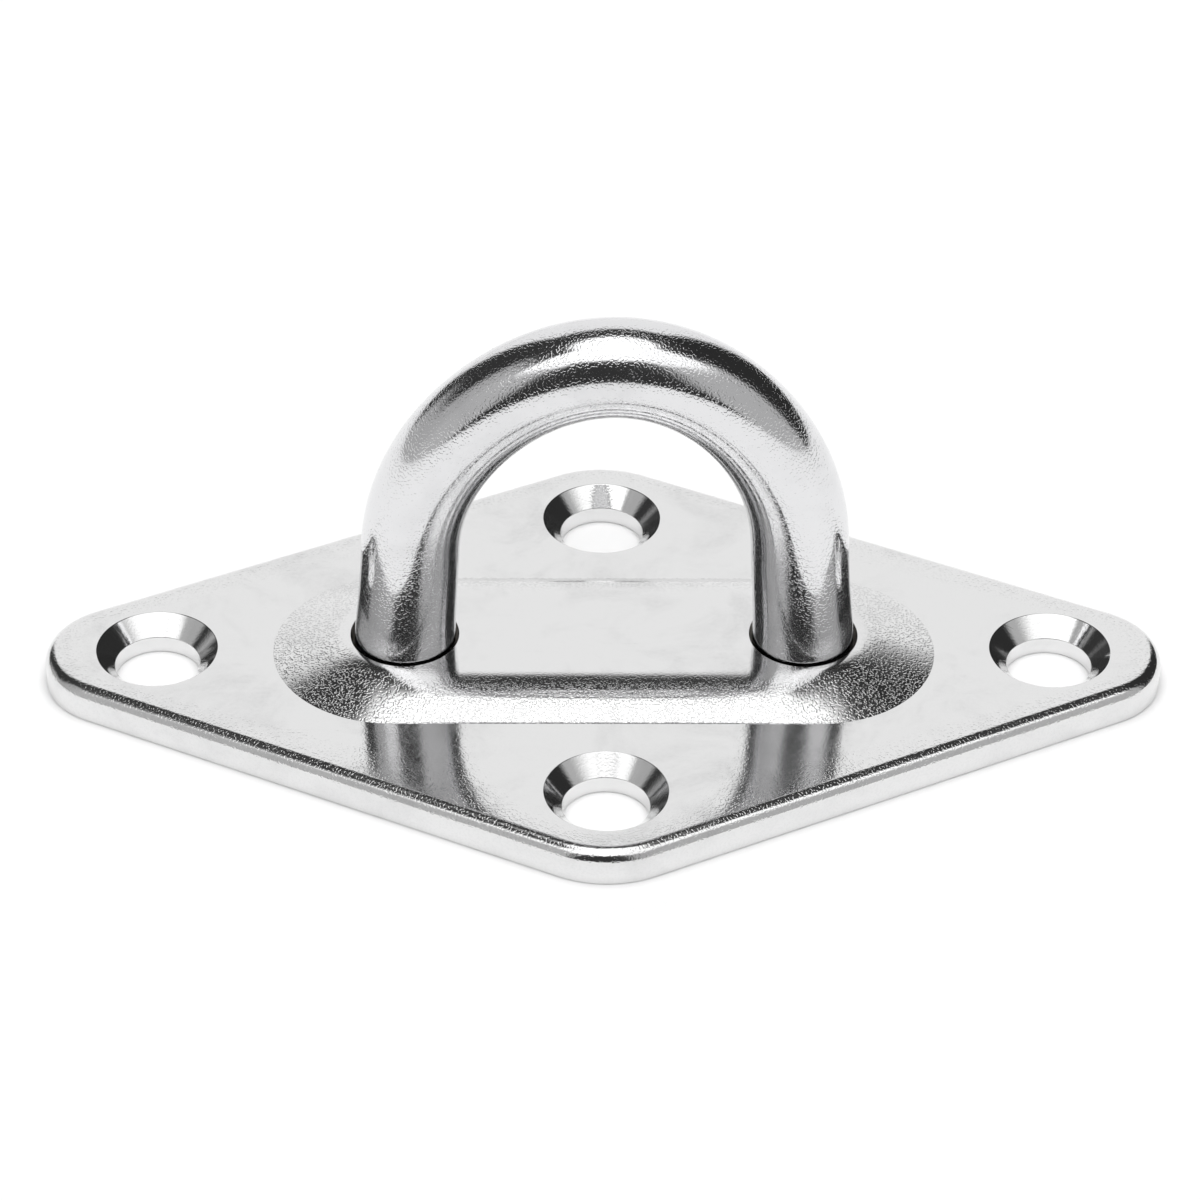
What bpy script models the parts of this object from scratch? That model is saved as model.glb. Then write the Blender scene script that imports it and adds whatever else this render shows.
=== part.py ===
"""Diamond pad eye: a pressed plate with a bent round bar through it, welded from below.

The plate lies on the deck at z = 0, its long diagonal along X, its short one along Y.
The eye stands up along +Z, in the XZ plane, and the origin is under the plate's centre.
Each piece is its own object: base_plate, eye_bow, weld_bead_left and weld_bead_right.
"""

import math

import bmesh
import bpy
from mathutils import Vector

MM = 0.001

# Plate: a diamond of thick sheet with its four corners rounded in plan.
PLATE_LENGTH = 92.0 * MM
PLATE_WIDTH = 53.0 * MM
PLATE_THICKNESS = 3.0 * MM
END_CORNER_RADIUS = 6.5 * MM
SIDE_CORNER_RADIUS = 8.5 * MM
RIM_RADIUS = 1.2 * MM

# Screw holes, one near each corner, countersunk at 90 degrees.
SCREW_HOLE_DIAMETER = 7.0 * MM
COUNTERSINK_DIAMETER = 10.0 * MM
END_HOLE_INSET = 9.2 * MM
SIDE_HOLE_INSET = 8.0 * MM

# Bow: round bar bent to a U, upright in its holes, whose legs lean in a little above them.
BAR_DIAMETER = 8.0 * MM
BOW_HEIGHT = 35.0 * MM
ARCH_RISE = 17.8 * MM
ARCH_NARROWING = 0.045
LEG_SPACING = 32.75 * MM
LEG_SPLAY = math.radians(4.0)
LEG_END_HEIGHT = 0.7 * MM
CROWN_LEAN = 0.7 * MM

# Boss: the raised oblong pressed up from below, which gives the legs their seat.
BOSS_LAND = 0.15 * MM
BOSS_END_REACH = 0.9 * MM
SHOULDER_TOP_RADIUS = 10.5 * MM
SHOULDER_TOP_TILT = math.radians(13.6)
SHOULDER_FOOT_RADIUS = 7.3 * MM
SHOULDER_FOOT_TILT = math.radians(38.0)
END_FLAT = 3.7 * MM
END_ROUNDING = 0.4 * MM
BLEND_BACK = 3.5 * MM
BLEND_LENGTH = 5.0 * MM
HOLLOW_WALL_SLOPE = math.radians(35.0)

# Weld beads: a fillet ring round each leg, in the hollow under the boss, bored as the leg hole.
WELD_LEG = 1.9 * MM
WELD_TOE = 0.35 * MM

# Fits between neighbours.
LEG_HOLE_CLEARANCE = 0.45 * MM
WELD_CLEARANCE = 0.3 * MM
HOLLOW_CLEARANCE = 1.1 * MM

# How finely the round shapes are divided.
CORNER_STEPS = 8
RIM_STEPS = 3
SHOULDER_STEPS = (2, 4)
STADIUM_STEPS = 16
BLEND_STEPS = 4
HOLE_SEGMENTS = 32
WELD_SEGMENTS = 32
WELD_STEPS = 3
ARCH_STEPS = 36
BAR_BEVEL_RESOLUTION = 10
CUT_MARGIN = 1.0 * MM

# Sizes that follow from the ones above.
BAR_RADIUS = BAR_DIAMETER / 2
LEG_X = LEG_SPACING / 2
SPRING_Z = BOW_HEIGHT - BAR_RADIUS - ARCH_RISE


def shoulder_section(tilt):
    """Distance outwards from the boss's flat top, and drop below it, where it tilts by tilt."""
    upper = min(tilt, SHOULDER_TOP_TILT)
    out = SHOULDER_TOP_RADIUS * math.sin(upper)
    drop = SHOULDER_TOP_RADIUS * (1 - math.cos(upper))
    if tilt > SHOULDER_TOP_TILT:
        out += SHOULDER_FOOT_RADIUS * (math.sin(tilt) - math.sin(SHOULDER_TOP_TILT))
        drop += SHOULDER_FOOT_RADIUS * (math.cos(SHOULDER_TOP_TILT) - math.cos(tilt))
    return out, drop


SHOULDER_WIDTH, BOSS_RISE = shoulder_section(SHOULDER_FOOT_TILT)
BOSS_TOP_Z = PLATE_THICKNESS + BOSS_RISE
LEG_HOLE_RADIUS = BAR_RADIUS + LEG_HOLE_CLEARANCE
BOSS_FLAT = LEG_HOLE_RADIUS + BOSS_LAND
BOSS_HALF_WIDTH = BOSS_FLAT + SHOULDER_WIDTH
BOSS_END_X = LEG_X + BOSS_END_REACH
WELD_INNER_RADIUS = LEG_HOLE_RADIUS
WELD_OUTER_RADIUS = WELD_INNER_RADIUS + WELD_LEG
HOLLOW_CEILING_HALF_WIDTH = WELD_OUTER_RADIUS + HOLLOW_CLEARANCE


def leg_x_at(z):
    """The right leg's centre line at height z: upright up to the boss's top, then leaning in."""
    return LEG_X - max(z - BOSS_TOP_Z, 0) * math.tan(LEG_SPLAY)


def clear_scene():
    for obj in list(bpy.data.objects):
        bpy.data.objects.remove(obj, do_unlink=True)


def metal(name, colour, roughness):
    material = bpy.data.materials.new(name)
    material.use_nodes = True
    shader = material.node_tree.nodes["Principled BSDF"]
    shader.inputs["Base Color"].default_value = (*colour, 1.0)
    shader.inputs["Metallic"].default_value = 1.0
    shader.inputs["Roughness"].default_value = roughness
    return material


def mesh_object(name, bm, material=None):
    """Turns a bmesh into an object, shaded smooth with its real edges kept sharp."""
    bmesh.ops.recalc_face_normals(bm, faces=bm.faces)
    mesh = bpy.data.meshes.new(name)
    bm.to_mesh(mesh)
    bm.free()
    mesh.shade_smooth()
    mesh.set_sharp_from_angle(angle=math.radians(30))
    if material:
        mesh.materials.append(material)
    obj = bpy.data.objects.new(name, mesh)
    bpy.context.scene.collection.objects.link(obj)
    return obj


def make_tool(obj):
    """Marks a shape that only adds to or cuts another one."""
    obj.hide_render = True
    obj.display_type = "WIRE"
    return obj


def combine(target, tool, operation):
    modifier = target.modifiers.new(f"{operation} {tool.name}", "BOOLEAN")
    modifier.operation = operation
    modifier.solver = "EXACT"
    modifier.object = tool


def arc(centre, radius, start, end, steps):
    """Points from angle start to angle end, both included."""
    angles = [start + (end - start) * step / steps for step in range(steps + 1)]
    return [(centre[0] + radius * math.cos(a), centre[1] + radius * math.sin(a)) for a in angles]


def diamond_outline():
    """The plate's outline: four arcs, joined by the straight lines that touch both."""
    end_x = PLATE_LENGTH / 2 - END_CORNER_RADIUS
    side_y = PLATE_WIDTH / 2 - SIDE_CORNER_RADIUS
    reach = math.hypot(end_x, side_y)
    facing = math.acos((SIDE_CORNER_RADIUS - END_CORNER_RADIUS) / reach) - math.atan2(side_y, end_x)
    turn = math.pi
    return (
        arc((end_x, 0), END_CORNER_RADIUS, -facing, facing, CORNER_STEPS)
        + arc((0, side_y), SIDE_CORNER_RADIUS, facing, turn - facing, CORNER_STEPS)
        + arc((-end_x, 0), END_CORNER_RADIUS, turn - facing, turn + facing, CORNER_STEPS)
        + arc((0, -side_y), SIDE_CORNER_RADIUS, turn + facing, 2 * turn - facing, CORNER_STEPS)
    )


def stadium_outline(end_x, radius):
    """An oblong with round ends, long along X, with a few points on its sides near each end."""
    quarter = math.pi / 2
    side = [(end_x - BLEND_BACK * step / BLEND_STEPS, radius) for step in range(1, BLEND_STEPS + 1)]
    right = [(x, -y) for x, y in reversed(side)]
    right += arc((end_x, 0), radius, -quarter, quarter, STADIUM_STEPS) + side
    return right + [(-x, -y) for x, y in right]


def flat_face(bm, outline, z):
    return bm.faces.new([bm.verts.new((x, y, z)) for x, y in outline])


def extrude_up(bm, face, height):
    """Extrudes a face and lifts the new cap, which it returns."""
    made = bmesh.ops.extrude_face_region(bm, geom=[face])["geom"]
    cap = next(item for item in made if isinstance(item, bmesh.types.BMFace))
    bmesh.ops.translate(bm, verts=cap.verts, vec=(0, 0, height))
    return cap


def turned(profile, segments, closed):
    """Spins a profile of (radius, z) points a full turn about Z."""
    bm = bmesh.new()
    verts = [bm.verts.new((radius, 0, z)) for radius, z in profile]
    pairs = list(zip(verts, verts[1:]))
    if closed:
        pairs.append((verts[-1], verts[0]))
    edges = [bm.edges.new(pair) for pair in pairs]
    bmesh.ops.spin(
        bm, geom=verts + edges, cent=(0, 0, 0), axis=(0, 0, 1),
        angle=2 * math.pi, steps=segments, use_merge=True,
    )
    bmesh.ops.remove_doubles(bm, verts=bm.verts, dist=0.001 * MM)
    return bm


def diamond_plate(material):
    """The flat sheet: the outline extruded, with its top edge rounded over."""
    bm = bmesh.new()
    cap = extrude_up(bm, flat_face(bm, diamond_outline(), 0), PLATE_THICKNESS)
    bmesh.ops.bevel(
        bm, geom=list(cap.edges), offset=RIM_RADIUS, offset_type="OFFSET",
        segments=RIM_STEPS, profile=0.5, affect="EDGES",
    )
    return mesh_object("base_plate", bm, material)


def lofted(contours):
    """Joins closed contours of (outline, z), lowest first, by quads, and closes both ends."""
    bm = bmesh.new()
    rings = [[bm.verts.new((x, y, z)) for x, y in outline] for outline, z in contours]
    for low, high in zip(rings, rings[1:]):
        for index, vert in enumerate(low):
            after = (index + 1) % len(low)
            bm.faces.new((vert, low[after], high[after], high[index]))
    for ring in (rings[0], rings[-1]):
        bm.faces.new(ring)
    return bm


def smooth(value):
    """0 below zero, 1 above one, and a soft step between."""
    value = min(max(value, 0), 1)
    return value * value * (3 - 2 * value)


def even_distance(flat, drop):
    """How far out an even slope, which starts at the distance flat, has fallen by drop."""
    slope = BOSS_RISE / (math.hypot(BOSS_HALF_WIDTH - flat, END_ROUNDING) - END_ROUNDING)
    return flat + math.sqrt((drop / slope + END_ROUNDING) ** 2 - END_ROUNDING**2)


def boss_contour(distance, drop):
    """An oblong that far from the boss's axis at the sides, blended to an even slope at its ends."""
    points = []
    for x, y in stadium_outline(BOSS_END_X, distance):
        beyond = max(abs(x) - BOSS_END_X, 0)
        flat = BOSS_FLAT + (END_FLAT - BOSS_FLAT) * smooth(beyond / distance)
        share = smooth((abs(x) - BOSS_END_X + BLEND_BACK) / BLEND_LENGTH)
        scale = 1 + (even_distance(flat, drop) / distance - 1) * share
        centre = math.copysign(min(abs(x), BOSS_END_X), x)
        points.append((centre + (x - centre) * scale, y * scale))
    return points


def boss_dome():
    """The raised oblong: contours stepped in and up along its rounded shoulder."""
    top_steps, foot_steps = SHOULDER_STEPS
    tilts = [SHOULDER_TOP_TILT * step / top_steps for step in range(top_steps)]
    foot_turn = SHOULDER_FOOT_TILT - SHOULDER_TOP_TILT
    tilts += [SHOULDER_TOP_TILT + foot_turn * step / foot_steps for step in range(foot_steps + 1)]
    contours = [(stadium_outline(BOSS_END_X, BOSS_HALF_WIDTH), PLATE_THICKNESS / 2)]
    for tilt in reversed(tilts):
        out, drop = shoulder_section(tilt)
        distance = BOSS_FLAT + out
        contours.append((boss_contour(distance, drop), BOSS_TOP_Z - drop))
    return make_tool(mesh_object("boss_dome", lofted(contours)))


def boss_hollow():
    """What the punch pushed up from below: the same rise, inside a sloping wall."""
    bm = bmesh.new()
    wall_run = BOSS_RISE * math.tan(HOLLOW_WALL_SLOPE)
    mouth = stadium_outline(BOSS_END_X, HOLLOW_CEILING_HALF_WIDTH + wall_run)
    cap = extrude_up(bm, flat_face(bm, mouth, -CUT_MARGIN), CUT_MARGIN)
    bmesh.ops.inset_region(
        bm, faces=[cap], thickness=wall_run, depth=BOSS_RISE,
        use_even_offset=True, use_boundary=True,
    )
    return make_tool(mesh_object("boss_hollow", bm))


def screw_hole_cutter(name, x, y):
    """A drilled hole opening into a 45 degree cone at the plate's top."""
    hole = SCREW_HOLE_DIAMETER / 2
    cone_depth = (COUNTERSINK_DIAMETER - SCREW_HOLE_DIAMETER) / 2
    above = PLATE_THICKNESS + CUT_MARGIN
    profile = [
        (0, above),
        (COUNTERSINK_DIAMETER / 2 + CUT_MARGIN, above),
        (hole, PLATE_THICKNESS - cone_depth),
        (hole, -CUT_MARGIN),
        (0, -CUT_MARGIN),
    ]
    cutter = make_tool(mesh_object(name, turned(profile, HOLE_SEGMENTS, closed=False)))
    cutter.location = (x, y, 0)
    return cutter


def leg_hole_cutter(name, side):
    """The round hole through the boss for one leg."""
    top = BOSS_TOP_Z + CUT_MARGIN
    profile = [(0, top), (LEG_HOLE_RADIUS, top), (LEG_HOLE_RADIUS, 0), (0, 0)]
    cutter = make_tool(mesh_object(name, turned(profile, HOLE_SEGMENTS, closed=False)))
    cutter.location = (side * LEG_X, 0, 0)
    return cutter


def base_plate(material):
    plate = diamond_plate(material)
    combine(plate, boss_dome(), "UNION")
    combine(plate, boss_hollow(), "DIFFERENCE")
    end_x = PLATE_LENGTH / 2 - END_HOLE_INSET
    side_y = PLATE_WIDTH / 2 - SIDE_HOLE_INSET
    corners = {"left": (-end_x, 0), "right": (end_x, 0), "front": (0, -side_y), "back": (0, side_y)}
    for corner, (x, y) in corners.items():
        combine(plate, screw_hole_cutter(f"screw_hole_{corner}", x, y), "DIFFERENCE")
    for name, side in (("leg_hole_left", -1), ("leg_hole_right", 1)):
        combine(plate, leg_hole_cutter(name, side), "DIFFERENCE")
    return plate


def bow_centre_line():
    """Up the left leg, over a narrowed half ellipse that leans to the right, and down again."""
    half_span = leg_x_at(SPRING_Z)
    points = [Vector((-leg_x_at(LEG_END_HEIGHT), 0, LEG_END_HEIGHT))]
    points.append(Vector((-leg_x_at(BOSS_TOP_Z), 0, BOSS_TOP_Z)))
    for step in range(ARCH_STEPS + 1):
        angle = math.pi * (1 - step / ARCH_STEPS)
        rise = max(math.sin(angle), 0)
        across = half_span * math.cos(angle) * (1 - ARCH_NARROWING * rise**2)
        x = across + CROWN_LEAN * rise**1.5
        points.append(Vector((x, 0, SPRING_Z + ARCH_RISE * rise)))
    points.append(Vector((leg_x_at(BOSS_TOP_Z), 0, BOSS_TOP_Z)))
    points.append(Vector((leg_x_at(LEG_END_HEIGHT), 0, LEG_END_HEIGHT)))
    return points


def eye_bow(material):
    """Round bar along the centre line, with plain flat ends."""
    curve = bpy.data.curves.new("eye_bow", "CURVE")
    curve.dimensions = "3D"
    curve.bevel_depth = BAR_RADIUS
    curve.bevel_resolution = BAR_BEVEL_RESOLUTION
    curve.use_fill_caps = True
    spline = curve.splines.new("POLY")
    points = bow_centre_line()
    spline.points.add(len(points) - 1)
    for spline_point, point in zip(spline.points, points):
        spline_point.co = (*point, 1)
    spline.use_smooth = True
    curve.materials.append(material)
    obj = bpy.data.objects.new("eye_bow", curve)
    bpy.context.scene.collection.objects.link(obj)
    return obj


def weld_bead(name, side, material):
    """A rounded fillet that fills the corner between a leg and the hollow's ceiling."""
    top = BOSS_RISE - WELD_CLEARANCE
    height = top - WELD_TOE
    profile = [(WELD_INNER_RADIUS, top)]
    for step in range(WELD_STEPS + 1):
        angle = math.pi / 2 * step / WELD_STEPS
        profile.append((WELD_INNER_RADIUS + WELD_LEG * math.cos(angle), top - height * math.sin(angle)))
    bead = mesh_object(name, turned(profile, WELD_SEGMENTS, closed=True), material)
    bead.location = (side * LEG_X, 0, 0)
    return bead


def main():
    clear_scene()
    polished = metal("polished_plate_steel", (0.78, 0.78, 0.78), 0.16)
    bar = metal("polished_bar_steel", (0.76, 0.76, 0.77), 0.14)
    weld = metal("weld_steel", (0.55, 0.52, 0.48), 0.38)
    pieces = [
        base_plate(polished),
        eye_bow(bar),
        weld_bead("weld_bead_left", -1, weld),
        weld_bead("weld_bead_right", 1, weld),
    ]
    frame = bpy.data.objects.new("pad_eye", None)
    bpy.context.scene.collection.objects.link(frame)
    for piece in pieces:
        piece.parent = frame


main()
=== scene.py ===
# %% [markdown]
# # A diamond pad eye in polished stainless steel
# A pad eye is a small deck fitting: a plate that is screwed down, and an eye that a shackle or
# a rope goes through. This one has a pressed plate with a raised oblong boss, and a round bar
# bent to a U whose legs pass through the boss and are welded underneath.
#
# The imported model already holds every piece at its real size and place. This lesson rebuilds
# each piece with a finer surface, in the same place, and then gives the steel its finish.

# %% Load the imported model
import math

import bmesh
import bpy
from mathutils import Matrix, Vector


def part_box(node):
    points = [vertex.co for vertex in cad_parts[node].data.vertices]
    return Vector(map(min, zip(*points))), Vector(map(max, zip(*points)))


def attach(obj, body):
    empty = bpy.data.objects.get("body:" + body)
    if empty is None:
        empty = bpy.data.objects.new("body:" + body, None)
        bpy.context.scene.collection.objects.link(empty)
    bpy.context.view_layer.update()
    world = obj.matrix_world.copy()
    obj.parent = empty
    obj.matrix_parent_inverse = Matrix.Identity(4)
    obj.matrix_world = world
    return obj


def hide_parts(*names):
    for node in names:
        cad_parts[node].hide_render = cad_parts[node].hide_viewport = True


MM = 0.001
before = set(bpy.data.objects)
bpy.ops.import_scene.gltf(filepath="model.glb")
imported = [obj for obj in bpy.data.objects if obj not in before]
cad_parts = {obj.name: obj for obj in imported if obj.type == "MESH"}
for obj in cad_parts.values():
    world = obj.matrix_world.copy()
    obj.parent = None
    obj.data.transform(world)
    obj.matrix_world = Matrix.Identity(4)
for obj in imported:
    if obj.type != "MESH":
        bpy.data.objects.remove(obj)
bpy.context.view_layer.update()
print("nodes:", sorted(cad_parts))

# %% [markdown]
# ## Sizes
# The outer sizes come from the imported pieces, so the fine surfaces can't drift away from
# them. The sizes that a box can't show, such as a corner radius, are named here in metres.

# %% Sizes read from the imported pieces
_, plate_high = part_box("base_plate")
_, bow_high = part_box("eye_bow")
weld_low, weld_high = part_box("weld_bead_right")

HALF_LENGTH = plate_high.x
HALF_WIDTH = plate_high.y
BOSS_TOP = plate_high.z
BAR_RADIUS = bow_high.y
BOW_TOP = bow_high.z
WELD_X = (weld_low.x + weld_high.x) / 2
WELD_RADIUS = (weld_high.x - weld_low.x) / 2
print("plate", HALF_LENGTH / MM, "x", HALF_WIDTH / MM, "mm, eye", BOW_TOP / MM, "mm high")

# %% Sizes of the plate
THICKNESS = 3.0 * MM
RIM_RADIUS = 1.2 * MM
END_CORNER = 6.5 * MM
SIDE_CORNER = 8.5 * MM
EDGE_BREAK = 0.12 * MM

END_HOLE_X = HALF_LENGTH - 9.2 * MM
SIDE_HOLE_Y = HALF_WIDTH - 8.0 * MM
HOLE_RADIUS = 3.5 * MM
COUNTERSINK_RADIUS = 5.0 * MM

# %% Sizes of the boss and the bow
LEG_SPACING = 32.75 * MM
LEG_SPLAY = math.radians(4.0)
LEG_END = 0.7 * MM
ARCH_RISE = 17.8 * MM
ARCH_NARROWING = 0.045
CROWN_LEAN = 0.7 * MM
FOOT_SWELL = 0.045

LEG_HOLE_RADIUS = BAR_RADIUS + 0.45 * MM
BOSS_END_X = LEG_SPACING / 2 + 0.9 * MM
BOSS_FLAT = LEG_HOLE_RADIUS + 0.15 * MM
BOSS_RISE = BOSS_TOP - THICKNESS
HOLLOW_FLAT = WELD_RADIUS + 1.1 * MM

# %% [markdown]
# ## Profiles
# Almost every edge of the plate is a corner between two straight runs, broken by a small
# radius. Blender's Bevel tool could round them after the fact, but a pressed plate mirrors
# its surroundings, and a mirror shows every uneven face. So each profile is worked out as
# points first, with its arcs exactly tangent, and then carried round the outline.

# %% A helper for arcs, and one that rounds the corners of a profile
def arc(centre, radius, start, end, steps):
    """Points from angle start to angle end, both included."""
    turns = [start + (end - start) * step / steps for step in range(steps + 1)]
    return [(centre[0] + radius * math.cos(a), centre[1] + radius * math.sin(a)) for a in turns]


def rounded(start, corners, end, degrees_per_step=7.5):
    """Replaces each (point, radius) corner of a path by an arc, and leaves out the two ends."""
    points = [start] + [point for point, _ in corners] + [end]
    made = []
    for index, (point, radius) in enumerate(corners, start=1):
        corner = Vector(point)
        before = (corner - Vector(points[index - 1])).normalized()
        after = (Vector(points[index + 1]) - corner).normalized()
        turn = math.atan2(before.cross(after), before.dot(after))
        first = corner - before * radius * math.tan(abs(turn) / 2)
        side = Vector((-before.y, before.x)) * math.copysign(radius, turn)
        centre = first + side
        steps = max(2, math.ceil(math.degrees(abs(turn)) / degrees_per_step))
        angle = math.atan2(first.y - centre.y, first.x - centre.x)
        made += arc(centre, radius, angle, angle + turn, steps)
    return made


quarter_turn = rounded((1, 0), [((0, 0), 0.5)], (0, 1))
print("points in a rounded square corner:", len(quarter_turn))

# %% [markdown]
# ## The plate
# The real plate is sheet steel: blanked to a diamond, pressed up in the middle, drilled,
# countersunk and tumbled until its edges are round. It is the same in all four quarters, so
# one quarter is modelled and a Mirror modifier makes the rest. A Boolean could cut the holes,
# but it leaves slivers round them that show as creases in polished metal. Here each flat is
# one face whose outline runs along the holes, and each rounded edge is a strip of quads.

# %% Paths in plan, each one quarter or half of its outline
CORNER_STEPS = 14
ROUND_STEPS = 40
# Next to its round end the boss's long side has closely spaced points, for the blend below.
SIDE_STEPS = 16
SIDE_STEP = 0.25 * MM

end_centre = HALF_LENGTH - END_CORNER
side_centre = HALF_WIDTH - SIDE_CORNER
reach = math.hypot(end_centre, side_centre)
FACING = math.acos((SIDE_CORNER - END_CORNER) / reach) - math.atan2(side_centre, end_centre)


def diamond_quarter(inset, height):
    """From the right tip, on the X axis, to the back corner, on the Y axis."""
    end_arc = arc((end_centre, 0), END_CORNER - inset, 0, FACING, CORNER_STEPS)
    side_arc = arc((0, side_centre), SIDE_CORNER - inset, FACING, math.pi / 2, CORNER_STEPS)
    return end_arc + side_arc


def stadium_quarter(radius, height=0):
    """From the boss's right end, on the X axis, to the middle of its long side."""
    side = [(BOSS_END_X - SIDE_STEP * step, radius) for step in range(1, SIDE_STEPS + 1)]
    return arc((BOSS_END_X, 0), radius, 0, math.pi / 2, ROUND_STEPS) + side + [(0, radius)]


def half_circle(x, y):
    """A maker of half circles round (x, y), on the side that lies in the modelled quarter."""
    start = 0 if x else -math.pi / 2
    return lambda radius, height: arc((x, y), radius, start, start + math.pi, ROUND_STEPS)


print("the plate's sides face", round(math.degrees(FACING), 2), "degrees from the X axis")

# %% Profiles of the rim and the screw holes, as (distance, height) points from the underside up
countersink_depth = COUNTERSINK_RADIUS - HOLE_RADIUS
rim_profile = rounded(
    (RIM_RADIUS, 0),
    [((0, 0), EDGE_BREAK), ((0, THICKNESS), RIM_RADIUS)],
    (2 * RIM_RADIUS, THICKNESS),
)
screw_hole_profile = rounded(
    (COUNTERSINK_RADIUS, 0),
    [
        ((HOLE_RADIUS, 0), EDGE_BREAK),
        ((HOLE_RADIUS, THICKNESS - countersink_depth), EDGE_BREAK),
        ((COUNTERSINK_RADIUS, THICKNESS), EDGE_BREAK),
    ],
    (2 * COUNTERSINK_RADIUS, THICKNESS),
)
print("points in the rim's profile:", len(rim_profile))
print("points in a screw hole's profile:", len(screw_hole_profile))

# %% Profiles of the leg holes and of the hollow under the boss
LEG_HOLE_EDGE_BREAK = 0.05 * MM
HOLLOW_WALL_LEAN = math.radians(35)
HOLLOW_CREASE = 0.5 * MM

leg_hole_profile = rounded(
    (2 * LEG_HOLE_RADIUS, BOSS_RISE),
    [
        ((LEG_HOLE_RADIUS, BOSS_RISE), EDGE_BREAK),
        ((LEG_HOLE_RADIUS, BOSS_TOP), LEG_HOLE_EDGE_BREAK),
    ],
    (2 * LEG_HOLE_RADIUS, BOSS_TOP),
)
hollow_foot = HOLLOW_FLAT + BOSS_RISE * math.tan(HOLLOW_WALL_LEAN)
hollow_profile = rounded(
    (2 * HOLLOW_FLAT, 0),
    [((hollow_foot, 0), HOLLOW_CREASE), ((HOLLOW_FLAT, BOSS_RISE), HOLLOW_CREASE)],
    (0, BOSS_RISE),
)
print("points in the hollow's profile:", len(hollow_profile))

# %% [markdown]
# The boss has a softer edge than the rest, because the sheet was stretched over it, not cut.
# It starts to fall away gently near the legs, falls faster and faster, and meets the flat in
# a tight crease. Three arcs that share their tangents make that: a large one, a smaller one,
# and a small hollow one at the crease.

# %% Profile of the boss's shoulder, from the crease up
SHOULDER_TOP_RADIUS = 10.5 * MM
SHOULDER_TOP_TILT = math.radians(13.6)
SHOULDER_FOOT_TILT = math.radians(38.0)
CREASE_RADIUS = 0.5 * MM

top_drop = SHOULDER_TOP_RADIUS * (1 - math.cos(SHOULDER_TOP_TILT))
crease_drop = CREASE_RADIUS * (1 - math.cos(SHOULDER_FOOT_TILT))
tilt_change = math.cos(SHOULDER_TOP_TILT) - math.cos(SHOULDER_FOOT_TILT)
SHOULDER_FOOT_RADIUS = (BOSS_RISE - top_drop - crease_drop) / tilt_change

up = math.pi / 2
gentle, steep = up - SHOULDER_TOP_TILT, up - SHOULDER_FOOT_TILT
top_centre = (BOSS_FLAT, BOSS_TOP - SHOULDER_TOP_RADIUS)
top_arc = arc(top_centre, SHOULDER_TOP_RADIUS, up, gentle, steps=8)
change = SHOULDER_TOP_RADIUS - SHOULDER_FOOT_RADIUS
foot_centre = (
    top_centre[0] + change * math.sin(SHOULDER_TOP_TILT),
    top_centre[1] + change * math.cos(SHOULDER_TOP_TILT),
)
foot_arc = arc(foot_centre, SHOULDER_FOOT_RADIUS, gentle, steep, steps=14)
between_centres = SHOULDER_FOOT_RADIUS + CREASE_RADIUS
crease_centre = (
    foot_centre[0] + between_centres * math.sin(SHOULDER_FOOT_TILT),
    foot_centre[1] + between_centres * math.cos(SHOULDER_FOOT_TILT),
)
crease_arc = arc(crease_centre, CREASE_RADIUS, -up - SHOULDER_FOOT_TILT, -up, steps=6)
boss_profile = list(reversed(top_arc + foot_arc[1:] + crease_arc[1:]))
print("shoulder radius at the foot", round(SHOULDER_FOOT_RADIUS / MM, 2), "mm")

# %% [markdown]
# The two ends of the boss fall away more evenly than its long sides do: from the leg hole
# down to the crease they are close to a cone. So every contour of the boss is worked out twice,
# once for the sides' profile and once for the even slope, and the two are blended along it.

# %% Contours of the boss
END_FLAT = 3.7 * MM
END_ROUNDING = 0.4 * MM
BOSS_FOOT = boss_profile[0][0]
BLEND_START = BOSS_END_X - 3.5 * MM
BLEND_LENGTH = 5.0 * MM


def smooth(value):
    """0 below zero, 1 above one, and a soft step between."""
    value = min(max(value, 0), 1)
    return value * value * (3 - 2 * value)


def even_distance(flat, drop):
    """How far out an even slope, which starts at the distance flat, has fallen by drop."""
    slope = BOSS_RISE / (math.hypot(BOSS_FOOT - flat, END_ROUNDING) - END_ROUNDING)
    return flat + math.sqrt((drop / slope + END_ROUNDING) ** 2 - END_ROUNDING**2)


def boss_quarter(distance, height):
    """The boss's contour at a height, which lies at that distance from its axis at the sides."""
    drop = max(BOSS_TOP - height, 0)
    points = []
    for x, y in stadium_quarter(distance):
        beyond = max(x - BOSS_END_X, 0)
        flat = BOSS_FLAT + (END_FLAT - BOSS_FLAT) * smooth(beyond / distance)
        share = smooth((x - BLEND_START) / BLEND_LENGTH)
        scale = 1 + (even_distance(flat, drop) / distance - 1) * share
        points.append((x - beyond + beyond * scale, y * scale))
    return points


end_fall = BOSS_RISE / (BOSS_FOOT - END_FLAT)
print("the boss's ends slope at", round(math.degrees(math.atan(end_fall)), 1), "degrees")
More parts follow.
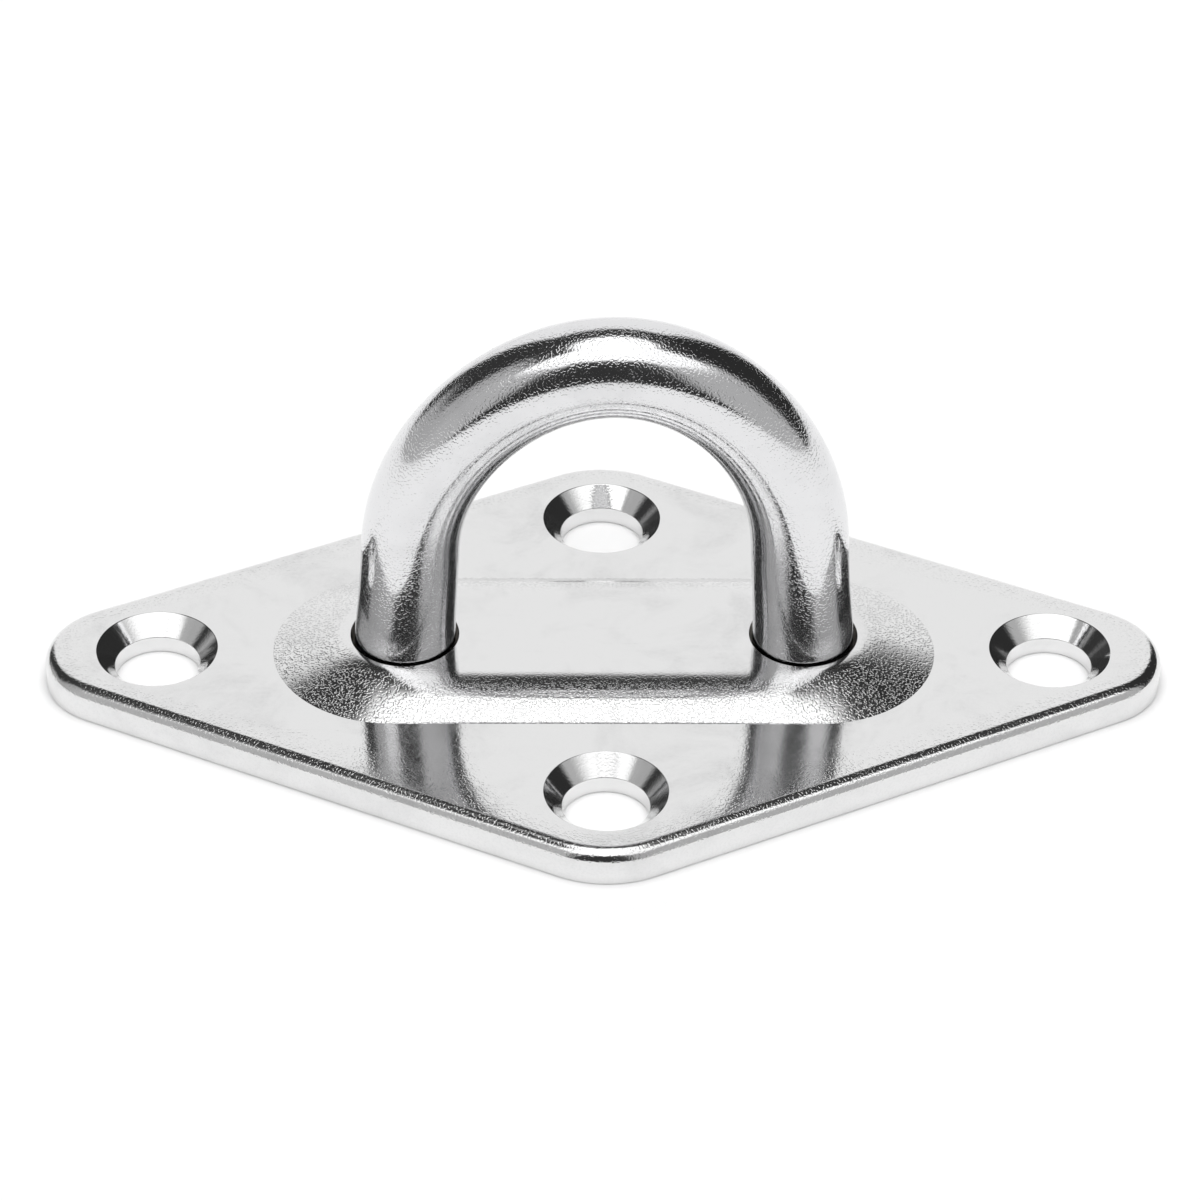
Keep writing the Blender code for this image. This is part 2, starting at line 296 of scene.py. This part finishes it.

# %% [markdown]
# Sheet that has been stretched or hammered round a bend comes out of tumbling rougher than
# flat sheet: its skin turns grainy, like orange peel. The finish has to know where that is.
# A shader could guess it from the slope or the height, but those don't know which metal was
# drawn. So each point of the mesh carries a number called worked, from 0 on the flats to 1 on
# the boss's shoulder, which the steel's material reads later: for deeper pits, and for darker
# painted shade in them.

# %% Strips of quads and flat faces
def strip(bm, path, profile, worked=None):
    """Carries a profile along a path in plan, and returns its first and last rows of points.

    worked tells from a height how hard the sheet was worked there, from 0 to 1.
    """
    layer = bm.verts.layers.float["worked"]
    rows = []
    for distance, height in profile:
        rows.append([bm.verts.new((x, y, height)) for x, y in path(distance, height)])
        for vert in rows[-1]:
            vert[layer] = worked(height) if worked else 0
    for low, high in zip(rows, rows[1:]):
        for index in range(len(low) - 1):
            bm.faces.new((low[index], low[index + 1], high[index + 1], high[index]))
    return rows[0], rows[-1]


def quarter_flat(bm, outer, end_hole, side_hole, inner):
    """One flat face: along the outer edge, round a side hole, the inner edge and an end hole."""
    bm.faces.new(outer + side_hole[::-1] + inner[::-1] + end_hole[::-1])


# %% How hard the metal was worked
FULLY_WORKED = 0.35 * MM
RIM_WORKED = 0.3


def worked_on_shoulder(height):
    """None on the flats; all of it once the shoulder has fallen a little."""
    return smooth((BOSS_TOP - height) / FULLY_WORKED) if height > THICKNESS else 0


def worked_on_rim(height):
    """The same all round the rim's rounding, and none where it meets a flat."""
    return 0 if height in (0, THICKNESS) else RIM_WORKED


shares = [round(worked_on_shoulder(height), 2) for _, height in boss_profile]
print("worked, from the crease up:", shares)

# %% One quarter of the plate
quarter = bmesh.new()
quarter.verts.layers.float.new("worked")
rim = strip(quarter, diamond_quarter, rim_profile, worked_on_rim)
end_hole = strip(quarter, half_circle(END_HOLE_X, 0), screw_hole_profile)
side_hole = strip(quarter, half_circle(0, SIDE_HOLE_Y), screw_hole_profile)
leg_hole = strip(quarter, half_circle(LEG_SPACING / 2, 0), leg_hole_profile)
shoulder = strip(quarter, boss_quarter, boss_profile, worked_on_shoulder)
hollow = strip(quarter, stadium_quarter, hollow_profile)

BOTTOM, TOP = 0, 1
quarter_flat(quarter, rim[TOP], end_hole[TOP], side_hole[TOP], shoulder[BOTTOM])
quarter_flat(quarter, rim[BOTTOM], end_hole[BOTTOM], side_hole[BOTTOM], hollow[BOTTOM])
boss_roof = (shoulder[TOP], leg_hole[TOP], BOSS_TOP)
hollow_roof = (hollow[TOP], leg_hole[BOTTOM], BOSS_RISE)
for outer, hole, height in (boss_roof, hollow_roof):
    middle = quarter.verts.new((0, 0, height))
    quarter_flat(quarter, outer, hole, [], [middle])
bmesh.ops.recalc_face_normals(quarter, faces=quarter.faces)
print("faces in a quarter of the plate:", len(quarter.faces))

# %% [markdown]
# Smooth shading blends the normals of neighbouring faces. Next to a large flat that would
# bend the mirror image near its edge, so a Weighted Normal modifier lets the larger face win:
# the flats stay flat right up to their rounded edges.

# %% Turn meshes into pieces
SHARP_EDGE = math.radians(35)


def piece(name, bm, node):
    """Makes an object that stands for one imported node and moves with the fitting."""
    mesh = bpy.data.meshes.new(name)
    bm.to_mesh(mesh)
    bm.free()
    mesh.shade_smooth()
    mesh.set_sharp_from_angle(angle=SHARP_EDGE)
    obj = bpy.data.objects.new(name, mesh)
    bpy.context.scene.collection.objects.link(obj)
    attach(obj, "root")
    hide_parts(node)
    return obj


def weight_normals(obj):
    """Lets large faces keep their own normals where they meet small ones."""
    modifier = obj.modifiers.new("flats_stay_flat", "WEIGHTED_NORMAL")
    modifier.mode = "FACE_AREA"
    modifier.keep_sharp = True


plate = piece("plate_polished", quarter, "base_plate")
mirror = plate.modifiers.new("other_quarters", "MIRROR")
mirror.use_axis = (True, True, False)
mirror.merge_threshold = 0.001 * MM
weight_normals(plate)
print("modifiers on the plate:", [modifier.name for modifier in plate.modifiers])

# %% [markdown]
# ## The bow
# The real bow is a length of round bar, bent cold over a former. Its legs splay a little
# towards the plate, and the crown came out slightly to one side, as bent bar does. A curve
# with a round bevel would do, but the ends need a ground chamfer and the reflections need
# evenly spaced rings, so rings are placed along the centre line and joined by quads.

# %% The bow's centre line
SPRING_Z = BOW_TOP - BAR_RADIUS - ARCH_RISE
STRAIGHTEN = 0.8 * MM


def ramp(distance):
    """0 below zero and the distance itself above it, with a soft bend between."""
    over = distance / STRAIGHTEN
    return STRAIGHTEN * (math.log1p(math.exp(-abs(over))) + max(over, 0))


def half_span(z):
    """How far a leg's centre is from the middle: upright in the plate, then leaning inwards."""
    leaning = ramp(z - BOSS_TOP) - ramp(z - SPRING_Z)
    return LEG_SPACING / 2 - leaning * math.tan(LEG_SPLAY)


def centre_line(leg_steps=60, arch_steps=150):
    """Points up the left leg, over the arch and down the right leg."""
    heights = [LEG_END + (SPRING_Z - LEG_END) * step / leg_steps for step in range(leg_steps)]
    arch = []
    for step in range(arch_steps + 1):
        angle = math.pi * (1 - step / arch_steps)
        rise = max(math.sin(angle), 0)
        z = SPRING_Z + ARCH_RISE * rise
        across = half_span(z) * math.cos(angle) * (1 - ARCH_NARROWING * rise**2)
        arch.append(Vector((across + CROWN_LEAN * rise**1.5, 0, z)))
    left = [Vector((-half_span(z), 0, z)) for z in heights]
    right = [Vector((half_span(z), 0, z)) for z in reversed(heights)]
    return left + arch + right


line = centre_line()
length = sum((b - a).length for a, b in zip(line, line[1:]))
print("bar length", round(length / MM, 1), "mm")

# %% Rings along the bar
BAR_SEGMENTS = 72
END_CHAMFER = 0.35 * MM
FOOT_SWELL_LENGTH = 2.5 * MM


def bar_radius(z):
    """The bar is a touch thicker where it was driven into the plate."""
    away_from_foot = abs(z - BOSS_TOP) / FOOT_SWELL_LENGTH
    return BAR_RADIUS * (1 + FOOT_SWELL * math.exp(-away_from_foot))


def bar_ring(bm, centre, along, radius):
    """A circle of points square to the bar."""
    outward = Vector((0, 1, 0)).cross(along).normalized()
    ring = []
    for step in range(BAR_SEGMENTS):
        angle = 2 * math.pi * step / BAR_SEGMENTS
        offset = outward * math.cos(angle) + Vector((0, 1, 0)) * math.sin(angle)
        ring.append(bm.verts.new(centre + offset * radius))
    return ring


def join_rings(bm, rings):
    """Fills the gaps between neighbouring rings with quads."""
    for low, high in zip(rings, rings[1:]):
        for index, vert in enumerate(low):
            after = (index + 1) % len(low)
            bm.faces.new((vert, low[after], high[after], high[index]))


print("bar radius where it enters the boss", round(bar_radius(BOSS_TOP) / MM, 2), "mm")

# %% The bow
bar = bmesh.new()
directions = [b - a for a, b in zip([line[0]] + line, line[1:] + [line[-1]])]
rings = [
    bar_ring(bar, point, direction.normalized(), bar_radius(point.z))
    for point, direction in zip(line, directions)
]
first, last = line[1] - line[0], line[-1] - line[-2]
ends = []
for point, along, outside in ((line[0], first, -1), (line[-1], last, 1)):
    along = along.normalized()
    tip = point + along * outside * END_CHAMFER
    ends.append(bar_ring(bar, tip, along, bar_radius(point.z) - END_CHAMFER))
rings = [ends[0]] + rings + [ends[1]]
join_rings(bar, rings)
for ring in (rings[0], rings[-1]):
    bar.faces.new(ring)
bmesh.ops.recalc_face_normals(bar, faces=bar.faces)
bow = piece("bow_polished", bar, "eye_bow")
weight_normals(bow)
print("faces in the bow:", len(bow.data.polygons))

# %% [markdown]
# ## The weld beads
# Under the boss a welder ran one fillet round each leg. A bead is laid as a row of small
# overlapping puddles, so it has ripples that follow the torch. A plain torus would look cast.
# The ring below swells and sinks a little as it goes round, and sinks into its neighbours,
# because real weld metal is fused to them.

# %% Sizes of the weld beads
RIPPLES = 30
RIPPLE_DEPTH = 0.05 * MM
RIPPLE_BOW = 0.9
RIPPLE_SHARPNESS = 0.7
BEAD_TOP = BOSS_RISE + 0.05 * MM
BEAD_INNER_RADIUS = BAR_RADIUS - 0.1 * MM
BEAD_ALLOWANCE = 0.1 * MM
print("a ripple every", round(2 * math.pi * WELD_RADIUS / RIPPLES / MM, 2), "mm")


# %% The weld beads
def bead_section(turn, side, steps=16):
    """Points (distance from the leg's centre, height) of the bead at one turn of the torch."""
    # No hand moves the torch quite evenly, so the bead's size wanders as it goes round.
    wander = 0.5 * math.sin(3 * turn + side) + 0.3 * math.sin(7 * turn)
    section = [(BEAD_INNER_RADIUS, BEAD_TOP)]
    for step in range(steps + 1):
        angle = math.pi / 2 * step / steps
        behind = RIPPLE_BOW * (2 * step / steps - 1) ** 2
        ripple = abs(math.sin((turn * RIPPLES + behind) / 2)) ** RIPPLE_SHARPNESS - 1
        swell = RIPPLE_DEPTH * (ripple + wander) - BEAD_ALLOWANCE
        distance = BEAD_INNER_RADIUS + (WELD_RADIUS - BEAD_INNER_RADIUS + swell) * math.cos(angle)
        height = BEAD_TOP - (BEAD_TOP - weld_low.z + swell) * math.sin(angle)
        section.append((distance, height))
    return section


def weld_bead(name, node_name, side, sections=208):
    """One bead, round the left leg where side is -1 and round the right leg where it is 1."""
    bm = bmesh.new()
    rings = []
    for step in range(sections):
        turn = 2 * math.pi * step / sections
        ring = []
        for distance, height in bead_section(turn, side):
            x = side * WELD_X + distance * math.cos(turn)
            ring.append(bm.verts.new((x, distance * math.sin(turn), height)))
        rings.append(ring)
    join_rings(bm, rings + [rings[0]])
    bmesh.ops.recalc_face_normals(bm, faces=bm.faces)
    return piece(name, bm, node_name)


weld_left = weld_bead("weld_left", "weld_bead_left", -1)
weld_right = weld_bead("weld_right", "weld_bead_right", 1)
print("faces in a bead:", len(weld_left.data.polygons))

# %% [markdown]
# ## Steel finishes
# Tumbled stainless steel is nearly a mirror, so its look is made by what it reflects and by
# how unevenly it reflects it. One roughness value would look like plated plastic. Three
# effects break it up here: peel, scratches and smudges. Each is a shader node group, so the
# plate, the bar and the welds can each use it at their own strength.

# %% Helpers for node groups
def new_group(name, inputs, outputs):
    """A shader node group whose inputs are numbers with defaults, and its two end nodes."""
    group = bpy.data.node_groups.new(name, "ShaderNodeTree")
    for label, value in inputs.items():
        socket = group.interface.new_socket(label, in_out="INPUT", socket_type="NodeSocketFloat")
        socket.default_value = value
    for label in outputs:
        group.interface.new_socket(label, in_out="OUTPUT", socket_type="NodeSocketFloat")
    return group, group.nodes.new("NodeGroupInput"), group.nodes.new("NodeGroupOutput")


def node(tree, kind, settings=None, **inputs):
    """Adds a node, sets its properties, and sets or links its inputs.

    An input is given by its name, or by its number after an underscore where names repeat.
    """
    made = tree.nodes.new(kind)
    for name, value in (settings or {}).items():
        setattr(made, name, value)
    for name, value in inputs.items():
        socket = made.inputs[int(name[1:])] if name[0] == "_" else made.inputs[name]
        if isinstance(value, bpy.types.NodeSocket):
            tree.links.new(value, socket)
        else:
            socket.default_value = value
    return made


def maths(tree, operation, first, second=0.0, third=0.0):
    """The result of a Math node, whose inputs are numbers or sockets."""
    settings = {"operation": operation}
    return node(tree, "ShaderNodeMath", settings, _0=first, _1=second, _2=third).outputs[0]


def noise(tree, scale, detail=2.0, roughness=0.5, distortion=0.0):
    """Noise that is fixed to the metal, scale being its cells per metre."""
    place = node(tree, "ShaderNodeTexCoord").outputs["Object"]
    made = node(
        tree, "ShaderNodeTexNoise", Vector=place, Scale=scale,
        Detail=detail, Roughness=roughness, Distortion=distortion,
    )
    return made.outputs["Fac"]


# %% [markdown]
# ### Peel
# Peel is the slight unevenness that stretching and tumbling leave: soft waves a few
# millimetres long, and fine pits a fifth of a millimetre apart. Plain noise gives the waves.
# Used for the pits, it looks like leather, because it rises as often as it falls. So only its
# lowest places are kept, which leaves separate pits in level metal.

# %% Peel
WAVES_PER_METRE = 420
PITS_PER_METRE = 5200
PIT_FLOOR, PIT_EDGE = 0.36, 0.52

peel, given, result = new_group(
    "peel", {"Waves": 1.0, "Pits": 1.0, "Stretch": 1.0}, ["Height", "Pit Shade"]
)
waves = noise(peel, WAVES_PER_METRE, detail=1.0)
pits = node(
    peel, "ShaderNodeMapRange", {"interpolation_type": "SMOOTHSTEP"},
    Value=noise(peel, PITS_PER_METRE, detail=0.5),
    **{"From Min": PIT_FLOOR, "From Max": PIT_EDGE},
).outputs["Result"]
worked = node(peel, "ShaderNodeAttribute", {"attribute_name": "worked"}).outputs["Fac"]
deeper = maths(peel, "MULTIPLY_ADD", worked, given.outputs["Stretch"], 1.0)
pit_depth = maths(peel, "MULTIPLY", deeper, given.outputs["Pits"])
height = maths(peel, "MULTIPLY", waves, given.outputs["Waves"])
height = maths(peel, "MULTIPLY_ADD", pits, pit_depth, height)
peel.links.new(height, result.inputs["Height"])
# Painted shade: the floors of the pits, with more of it where the metal was worked. The steel later
# darkens its colour by this amount.
pit_shade = maths(peel, "MULTIPLY", maths(peel, "SUBTRACT", 1.0, pits), deeper)
peel.links.new(pit_shade, result.inputs["Pit Shade"])
print("peel: waves", round(1000 / WAVES_PER_METRE, 1), "mm long")

# %% [markdown]
# ### Scratches
# Handling leaves short straight lines in a few directions. They could be drawn one by one as
# thin meshes, but noise that is squeezed in one direction and drawn out in the other gives as
# many as needed, if only its rarest peaks are kept.

# %% Scratches
SCRATCH_LAYS = ((0.35, 90), (-0.9, 130), (2.1, 70))
SCRATCHES_PER_METRE = 4200
SCRATCH_EDGE, SCRATCH_BOTTOM = 0.74, 0.80

scratches, given, result = new_group("scratches", {"Depth": 0.0}, ["Height"])
place = node(scratches, "ShaderNodeTexCoord").outputs["Object"]
lines = []
# Each lay has its turn in radians, and how many streaks follow each other in a metre.
for turn, along in SCRATCH_LAYS:
    turned = node(scratches, "ShaderNodeMapping", {"vector_type": "POINT"}, Vector=place)
    turned.inputs["Rotation"].default_value = (0, 0, turn)
    turned.inputs["Scale"].default_value = (along, SCRATCHES_PER_METRE, along)
    streak = node(
        scratches, "ShaderNodeTexNoise", Vector=turned.outputs[0], Scale=1.0, Detail=1.0
    )
    kept = node(
        scratches, "ShaderNodeMapRange", Value=streak.outputs["Fac"],
        **{"From Min": SCRATCH_EDGE, "From Max": SCRATCH_BOTTOM, "To Max": -1.0},
    )
    lines.append(kept.outputs["Result"])
deepest = maths(scratches, "MINIMUM", maths(scratches, "MINIMUM", lines[0], lines[1]), lines[2])
scored = maths(scratches, "MULTIPLY", deepest, given.outputs["Depth"])
scratches.links.new(scored, result.inputs["Height"])
print("scratches: lays", len(SCRATCH_LAYS))

# %% [markdown]
# ### Smudges
# Fingers and packing leave patches where the gloss is a little duller and greyer. A patch
# isn't even: it is made of specks of dried film. So a coarse noise says where the patches lie,
# and a fine one breaks them up.

# %% Smudges
PATCHES_PER_METRE = 150
SPECKS_PER_METRE = 2600
PATCH_EDGE, PATCH_MIDDLE = 0.45, 0.7

smudges, given, result = new_group("smudges", {"Dullness": 0.05}, ["Roughness", "Mask"])
patches = noise(smudges, PATCHES_PER_METRE, detail=5.0, roughness=0.6, distortion=0.6)
mask = node(
    smudges, "ShaderNodeMapRange", {"interpolation_type": "SMOOTHSTEP"},
    Value=patches, **{"From Min": PATCH_EDGE, "From Max": PATCH_MIDDLE},
).outputs["Result"]
specks = noise(smudges, SPECKS_PER_METRE, detail=3.0, roughness=0.7)
specked_mask = maths(smudges, "MULTIPLY", mask, specks)
duller = maths(smudges, "MULTIPLY", specked_mask, given.outputs["Dullness"])
smudges.links.new(specked_mask, result.inputs["Mask"])
smudges.links.new(duller, result.inputs["Roughness"])
print("smudges: patches", round(1000 / PATCHES_PER_METRE, 1), "mm long")

# %% [markdown]
# ### The steels
# The plate and the bar are the same stainless steel, but the sheet has a finer skin than the
# bent bar. The weld is darker and yellower, because its heat has left a thin straw-coloured
# oxide, and rougher, because nothing polished it.

# %% A maker of steels
# Painted shade: the floors of the pits are darkened in the steel's colour, most on the worked
# shoulder. The smudges grey the colour too, but they are a real film on the metal.
PIT_SHADE_DARKNESS = 0.012
SMUDGE_DARKNESS = 0.22
SMUDGE_AND_PIT_SHADE_GREY = (0.30, 0.30, 0.31, 1.0)


def steel(name, colour, roughness, waves_depth, pits_depth, stretch, scratch_depth, dullness):
    """Stainless steel with its own amount of peel, scratches and smudges. Depths are in metres."""
    material = bpy.data.materials.new(name)
    material.use_nodes = True
    tree = material.node_tree
    shader = tree.nodes["Principled BSDF"]
    shader.inputs["Metallic"].default_value = 1.0
    shader.inputs["Base Color"].default_value = (*colour, 1.0)
    uneven = node(
        tree, "ShaderNodeGroup", {"node_tree": peel},
        Waves=waves_depth, Pits=pits_depth, Stretch=stretch,
    )
    scored = node(tree, "ShaderNodeGroup", {"node_tree": scratches}, Depth=scratch_depth)
    relief = maths(tree, "ADD", uneven.outputs["Height"], scored.outputs["Height"])
    bump = node(tree, "ShaderNodeBump", Height=relief, Distance=1.0, Strength=1.0)
    tree.links.new(bump.outputs["Normal"], shader.inputs["Normal"])
    worn = node(tree, "ShaderNodeGroup", {"node_tree": smudges}, Dullness=dullness)
    # The colour is darkened by painted shade in the pits and by the real grey film of the smudges.
    painted_pit_shade = maths(tree, "MULTIPLY", uneven.outputs["Pit Shade"], PIT_SHADE_DARKNESS)
    smudge_and_pit_shade = maths(tree, "MULTIPLY_ADD", worn.outputs["Mask"], SMUDGE_DARKNESS, painted_pit_shade)
    # Input 0 of a Mix node is its factor, and inputs 6 and 7 are its two colours.
    smudged_and_shaded = node(
        tree, "ShaderNodeMix", {"data_type": "RGBA"}, _0=smudge_and_pit_shade, _6=(*colour, 1.0), _7=SMUDGE_AND_PIT_SHADE_GREY
    )
    tree.links.new(smudged_and_shaded.outputs[2], shader.inputs["Base Color"])
    rough = maths(tree, "ADD", worn.outputs["Roughness"], roughness)
    tree.links.new(rough, shader.inputs["Roughness"])
    return material


# %% The steels
plate_steel = steel(
    "plate_steel", (0.80, 0.80, 0.80), roughness=0.08, waves_depth=6e-6, pits_depth=1.1e-6,
    stretch=11.0, scratch_depth=1.5e-6, dullness=0.15,
)
bar_steel = steel(
    "bar_steel", (0.78, 0.78, 0.79), roughness=0.07, waves_depth=6e-6, pits_depth=6.5e-6,
    stretch=0.0, scratch_depth=1.0e-6, dullness=0.12,
)
weld_steel = steel(
    "weld_steel", (0.58, 0.55, 0.50), roughness=0.32, waves_depth=1e-5, pits_depth=3e-6,
    stretch=0.0, scratch_depth=0.0, dullness=0.2,
)
finishes = ((plate, plate_steel), (bow, bar_steel), (weld_left, weld_steel), (weld_right, weld_steel))
for finished, material in finishes:
    finished.data.materials.append(material)
    print(finished.name, "is finished in", material.name)

# %% [markdown]
# ## The studio
# Polished metal shows the studio more than it shows itself. The floor is plain and nearly
# white. The rest of the studio is in the world: its shader reads only the direction of a ray,
# so the panels of light sit infinitely far away and every view of the fitting sees the same
# ones. Rays that come straight from the camera see a plain pale backdrop instead.

# %% The floor
FLOOR_HALF = 3.0

floor_mesh = bpy.data.meshes.new("floor")
corners = [(x * FLOOR_HALF, y * FLOOR_HALF, 0) for x, y in ((-1, -1), (1, -1), (1, 1), (-1, 1))]
floor_mesh.from_pydata(corners, [], [(0, 1, 2, 3)])
floor = bpy.data.objects.new("floor", floor_mesh)
bpy.context.scene.collection.objects.link(floor)
floor_material = bpy.data.materials.new("pale_floor")
floor_material.use_nodes = True
floor_shader = floor_material.node_tree.nodes["Principled BSDF"]
floor_shader.inputs["Base Color"].default_value = (0.93, 0.93, 0.93, 1)
floor_shader.inputs["Roughness"].default_value = 0.9
floor_shader.inputs["Specular IOR Level"].default_value = 0.1
floor_mesh.materials.append(floor_material)
print("floor", 2 * FLOOR_HALF, "m square")

# %% Directions in the studio
DEGREE = math.pi / 180

world = bpy.data.worlds.new("studio")
bpy.context.scene.world = world
world.use_nodes = True
sky = world.node_tree
sky.nodes.clear()
direction = node(sky, "ShaderNodeTexCoord").outputs["Generated"]
axes = node(sky, "ShaderNodeSeparateXYZ", Vector=direction)
X, Y, Z = (axes.outputs[name] for name in "XYZ")
elevation = maths(sky, "DIVIDE", maths(sky, "ARCSINE", Z), DEGREE)
# 0 straight in front of the fitting, 90 to its right, 180 behind it.
turn_from_front = maths(sky, "ARCTAN2", X, maths(sky, "MULTIPLY", Y, -1.0))
bearing = maths(sky, "DIVIDE", turn_from_front, DEGREE)


def away_from(centre):
    """Degrees between a ray's bearing and a panel's centre, the short way round."""
    turned = maths(sky, "SUBTRACT", bearing, centre)
    return maths(sky, "ABSOLUTE", maths(sky, "WRAP", turned, 180.0, -180.0))


print("nodes that find a ray's direction:", len(sky.nodes))


# %% A panel of light
def window(value, low, high, soft):
    """1 while value is between low and high, with soft edges."""
    smoothly = {"interpolation_type": "SMOOTHSTEP"}
    rise = node(
        sky, "ShaderNodeMapRange", smoothly,
        Value=value, **{"From Min": low - soft, "From Max": low + soft},
    )
    ends = {"From Min": high - soft, "From Max": high + soft, "To Min": 1.0, "To Max": 0.0}
    fall = node(sky, "ShaderNodeMapRange", smoothly, Value=value, **ends)
    return maths(sky, "MULTIPLY", rise.outputs["Result"], fall.outputs["Result"])


def hang(level, centre, half_width, low, high, soft, brightness):
    """Hangs a panel in front of whatever is there already."""
    mask = window(elevation, low, high, soft)
    if half_width < 180:
        beside = window(away_from(centre), -half_width, half_width, soft)
        mask = maths(sky, "MULTIPLY", mask, beside)
    behind = maths(sky, "MULTIPLY", level, maths(sky, "SUBTRACT", 1.0, mask))
    return maths(sky, "MULTIPLY_ADD", mask, brightness, behind)


# %% [markdown]
# A later panel hangs in front of an earlier one. The lower ones are the room: pale walls and
# reflectors, which the bar's sides mirror, and dark gaps between them, which draw the bar's
# dark lines. The upper ones are one large soft box, which the flats and the crown mirror.

# %% The panels
# Bearing of the centre, half width, lowest and highest elevation and softness, all in degrees,
# and then the brightness. A half width over 180 goes all the way round.
panels = {
    "glow from below": (0, 181, -100, -45, 6, 0.55),
    "left wall": (-95, 30, -30, 52, 7, 0.46),
    "right front reflector": (58, 32, -30, 50, 8, 0.50),
    "left front reflector": (-54, 20, -30, 44, 7, 0.52),
    "dark room, back right": (126, 34, -30, 58, 6, 0.03),
    "dark room, back left": (-128, 32, 18, 60, 6, 0.04),
    "paper sweep behind": (-178, 30, -30, 47, 4, 0.97),
    "soft box": (0, 181, 71, 100, 4, 1.60),
    "soft box, front edge": (0, 60, 49, 78, 4, 1.60),
    "soft box, left front corner": (-44, 18, 42, 75, 6, 1.40),
    "soft box, right front corner": (50, 28, 44, 75, 6, 1.30),
}
EMPTY_ROOM = 0.05
level = EMPTY_ROOM
for panel in panels.values():
    level = hang(level, *panel)
print("panels hung:", len(panels))

# %% The dark front, a wedge that narrows upwards between the reflectors and the soft box
WEDGE_BEARING = -4
WEDGE_TOP, WEDGE_HALF_WIDTH = 49, 38
WEDGE_SOFTNESS = 4
WEDGE_BRIGHTNESS = 0.04
BELOW_ANY_RAY = -200

narrowing = WEDGE_TOP / WEDGE_HALF_WIDTH
lean_in = maths(sky, "MULTIPLY_ADD", away_from(WEDGE_BEARING), narrowing, elevation)
wedge = window(lean_in, BELOW_ANY_RAY, WEDGE_TOP, WEDGE_SOFTNESS)
lit = maths(sky, "MULTIPLY", level, maths(sky, "SUBTRACT", 1.0, wedge))
level = maths(sky, "MULTIPLY_ADD", wedge, WEDGE_BRIGHTNESS, lit)
print("the wedge is", 2 * WEDGE_HALF_WIDTH, "degrees wide at the horizon")

# %% What the metal sees, and what the camera sees
WHITE = (1, 1, 1, 1)

studio_light = node(sky, "ShaderNodeBackground", Color=WHITE, Strength=level).outputs[0]
backdrop = node(sky, "ShaderNodeBackground", Color=WHITE, Strength=1.0).outputs[0]
seen = node(sky, "ShaderNodeLightPath").outputs["Is Camera Ray"]
mixed = node(sky, "ShaderNodeMixShader", _0=seen, _1=studio_light, _2=backdrop)
node(sky, "ShaderNodeOutputWorld", Surface=mixed.outputs[0])
print("nodes in the studio:", len(sky.nodes))

# %% [markdown]
# The panels alone leave the floor a dull grey, and brighter panels would burn out the metal.
# So one lamp above lights the floor and is hidden from reflections: polished metal, which
# only reflects, doesn't see it.

# %% A fill that only lights the floor
FILL_SIZE = 1.2
FILL_HEIGHT = 1.5
FILL_RADIANCE = 3.2

fill_light = bpy.data.lights.new("floor_fill", "AREA")
fill_light.shape = "SQUARE"
fill_light.size = FILL_SIZE
fill_light.energy = FILL_RADIANCE * math.pi * FILL_SIZE * FILL_SIZE
floor_fill = bpy.data.objects.new("floor_fill", fill_light)
floor_fill.location = (0, 0, FILL_HEIGHT)
floor_fill.visible_camera = False
floor_fill.visible_glossy = False
bpy.context.scene.collection.objects.link(floor_fill)
print("fill:", round(fill_light.energy, 1), "W")

# %% [markdown]
# ## The camera
# The fitting is seen from in front and about 37 degrees above the deck, through a long lens,
# which keeps the far and near corners of the plate nearly the same size.

# %% The camera
AIM = Vector((-0.372, 0, 8.073)) * MM
DISTANCE = 396.5 * MM
VIEW_ELEVATION = math.radians(36.77)
VIEW_AZIMUTH = math.radians(-0.92)
VIEW_ROLL = math.radians(0.644)
FOCAL_LENGTH = 145.44
SENSOR_WIDTH = 36
NEAREST = 10 * MM

level_part = math.cos(VIEW_ELEVATION)
away = Vector((
    math.sin(VIEW_AZIMUTH) * level_part,
    -math.cos(VIEW_AZIMUTH) * level_part,
    math.sin(VIEW_ELEVATION),
))
camera_data = bpy.data.cameras.new("camera")
camera_data.lens = FOCAL_LENGTH
camera_data.sensor_width = SENSOR_WIDTH
camera_data.clip_start = NEAREST
camera = bpy.data.objects.new("camera", camera_data)
bpy.context.scene.collection.objects.link(camera)
camera.rotation_mode = "QUATERNION"
level_turn = away.to_track_quat("Z", "Y")
camera.rotation_quaternion = level_turn @ Matrix.Rotation(VIEW_ROLL, 3, "Z").to_quaternion()
camera.location = AIM + away * DISTANCE
bpy.context.scene.camera = camera
bpy.context.scene.view_settings.view_transform = "Standard"
print("the camera sees", round(math.degrees(camera_data.angle), 1), "degrees")
